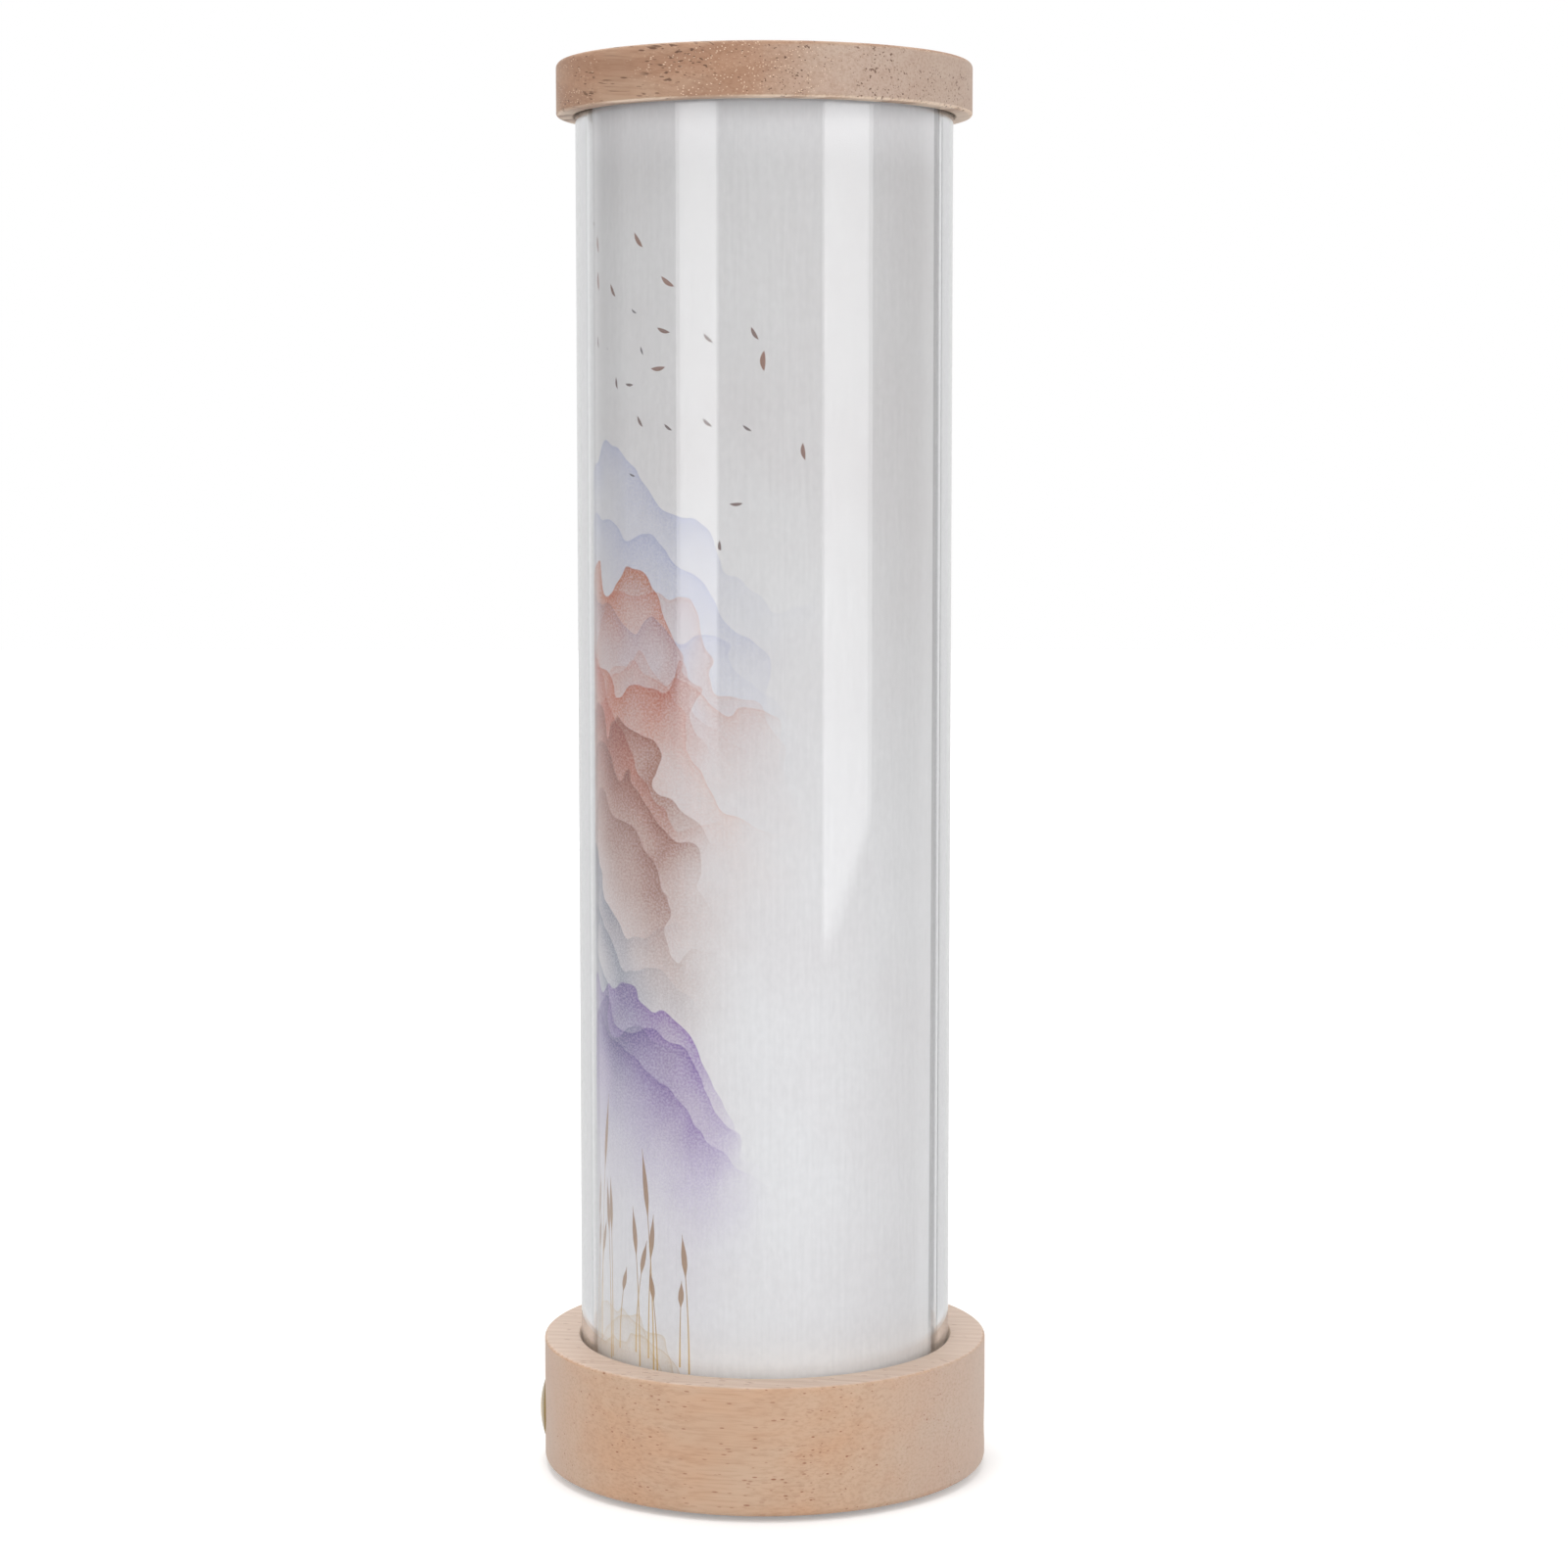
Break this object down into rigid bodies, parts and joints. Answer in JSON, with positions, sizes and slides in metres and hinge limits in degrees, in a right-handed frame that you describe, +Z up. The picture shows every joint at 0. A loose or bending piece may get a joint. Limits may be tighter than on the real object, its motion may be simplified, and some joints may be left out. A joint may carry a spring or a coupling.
{
  "type": "touch table lamp",
  "caption": "Table lamp with a clear tube over a rolled print, a turned wooden base with a brass touch button and a light inside it, and a loose wooden cap.",
  "frame": {"origin": "on the table, under the middle of the base", "axes": "+Z up along the tube, -Y towards the touch button, +Y towards the power inlet"},
  "size_m": [0.12, 0.1214, 0.3765],
  "materials": {
    "base_wood": "sanded pale hardwood, oiled",
    "cap_wood": "sanded pale hardwood, oiled, a shade darker",
    "clear_acrylic": "clear, polished",
    "printed_film": "translucent white film with soft washes of colour",
    "brass": "polished",
    "tinned_brass": "tinned",
    "zinc_steel": "zinc plated",
    "shell_steel": "drawn, satin",
    "black_rubber": "matt",
    "black_plastic": "fine spark texture",
    "white_plastic": "moulded",
    "opal_acrylic": "opal, satin",
    "white_board": "white solder mask on aluminium",
    "light_chip": "phosphor under clear resin",
    "white_insulation": "soft insulation",
    "red_insulation": "soft insulation",
    "green_board": "green solder mask",
    "grey_foam": "closed-cell foam tape",
    "chip_plastic": "moulded epoxy",
    "capacitor_sleeve": "shrunk sleeve"
  },
  "bodies": {
    "base": {"base_body": "base_wood", "bottom_cover": "black_plastic", "cover_screws": "zinc_steel", "foot_pads": "black_rubber", "touch_button": "brass", "touch_nut": "brass", "touch_lug": "tinned_brass", "touch_lead": "white_insulation", "seat_ring": "white_plastic", "seat_screws": "zinc_steel", "diffuser": "opal_acrylic", "light_board": "white_board", "light_chips": "light_chip", "light_screws": "zinc_steel", "light_leads": "white_insulation", "driver_board": "green_board", "driver_tape": "grey_foam", "touch_chip": "chip_plastic", "dimmer_transistor": "chip_plastic", "smoothing_capacitor": "capacitor_sleeve", "inlet_body": "black_plastic", "inlet_nut": "zinc_steel", "inlet_shell": "shell_steel", "inlet_tongue": "chip_plastic", "inlet_terminals": "tinned_brass", "power_leads": "red_insulation"},
    "shade": {"tube": "clear_acrylic", "print_film": "printed_film"},
    "cap": {"top_cap": "cap_wood"}
  },
  "joints": [
    {"name": "tube_lift", "type": "slide", "parent": "base", "child": "shade", "axis": [0, 0, 1], "range_m": [0, 0.05]},
    {"name": "cap_lift", "type": "slide", "parent": "shade", "child": "cap", "axis": [0, 0, 1], "range_m": [0, 0.1]}
  ]
}
